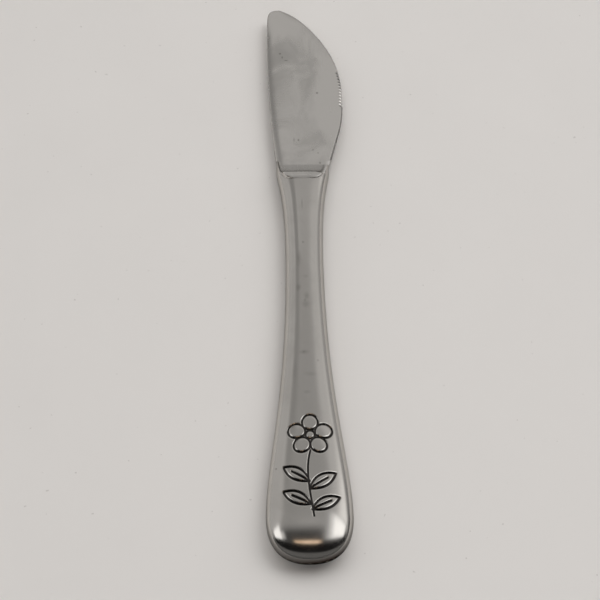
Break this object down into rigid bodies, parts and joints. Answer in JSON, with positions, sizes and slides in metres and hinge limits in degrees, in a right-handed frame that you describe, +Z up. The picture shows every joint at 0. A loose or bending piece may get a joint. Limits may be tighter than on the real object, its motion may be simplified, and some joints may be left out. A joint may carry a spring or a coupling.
{
  "type": "table knife",
  "caption": "Small all-steel table knife with a short round-bellied blade, a bolster bar and a hollow handle that swells to a rounded end.",
  "frame": {"origin": "on the table, under the middle of the knife's bounding box", "axes": "+Y from the handle's end towards the blade's tip, +X towards the cutting edge, +Z up, away from the table the knife lies on"},
  "size_m": [0.0204, 0.17, 0.0082],
  "materials": {
    "blade_steel": "satin polished, hardened chrome steel",
    "handle_steel": "polished, lightly worn stainless sheet",
    "handle_back_steel": "polished, lightly worn stainless sheet",
    "braze": "ground flush",
    "cement": "set mineral filler, matt"
  },
  "bodies": {
    "root": {"blade": "blade_steel", "handle_front_shell": "handle_steel", "handle_back_shell": "handle_back_steel", "seam_braze": "braze", "handle_cement": "cement"}
  },
  "joints": []
}
